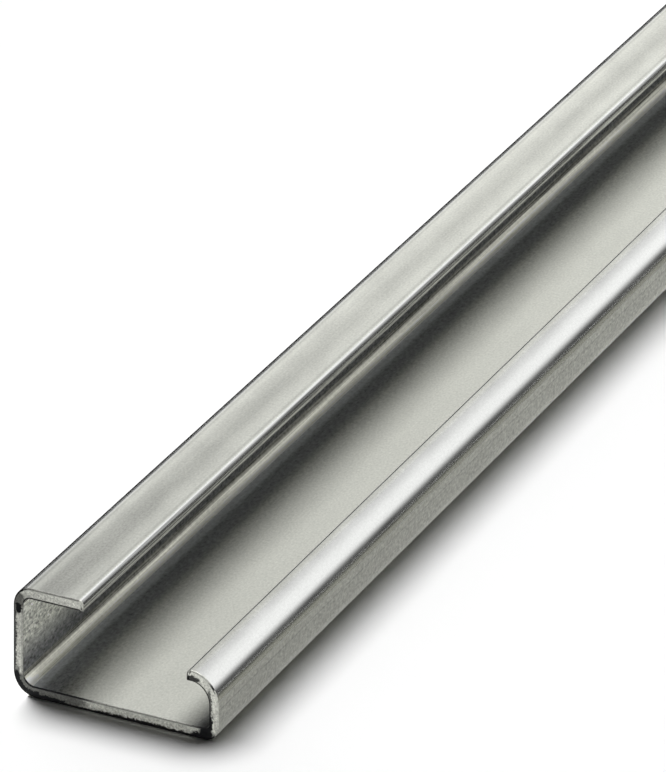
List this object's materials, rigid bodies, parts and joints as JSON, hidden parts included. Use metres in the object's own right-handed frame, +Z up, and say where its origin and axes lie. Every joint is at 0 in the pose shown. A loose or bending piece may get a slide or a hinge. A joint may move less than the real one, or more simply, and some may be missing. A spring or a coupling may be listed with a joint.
{
  "type": "din rail",
  "caption": "Asymmetric G section mounting rail: one plain length of rolled zinc-plated steel strip with a long and a short inward lip.",
  "frame": {"origin": "middle of the back's underside, halfway along the rail", "axes": "+Z up out of the rail's open side, +Y along the rail away from the end in the picture, +X from the tall wall to the low wall"},
  "size_m": [0.032, 1, 0.015],
  "materials": {
    "zinc_steel": "zinc-plated cold-rolled strip, satin, with fine lengthwise rolling marks and bare sawn ends"
  },
  "bodies": {
    "root": {"rail": "zinc_steel"}
  },
  "joints": []
}
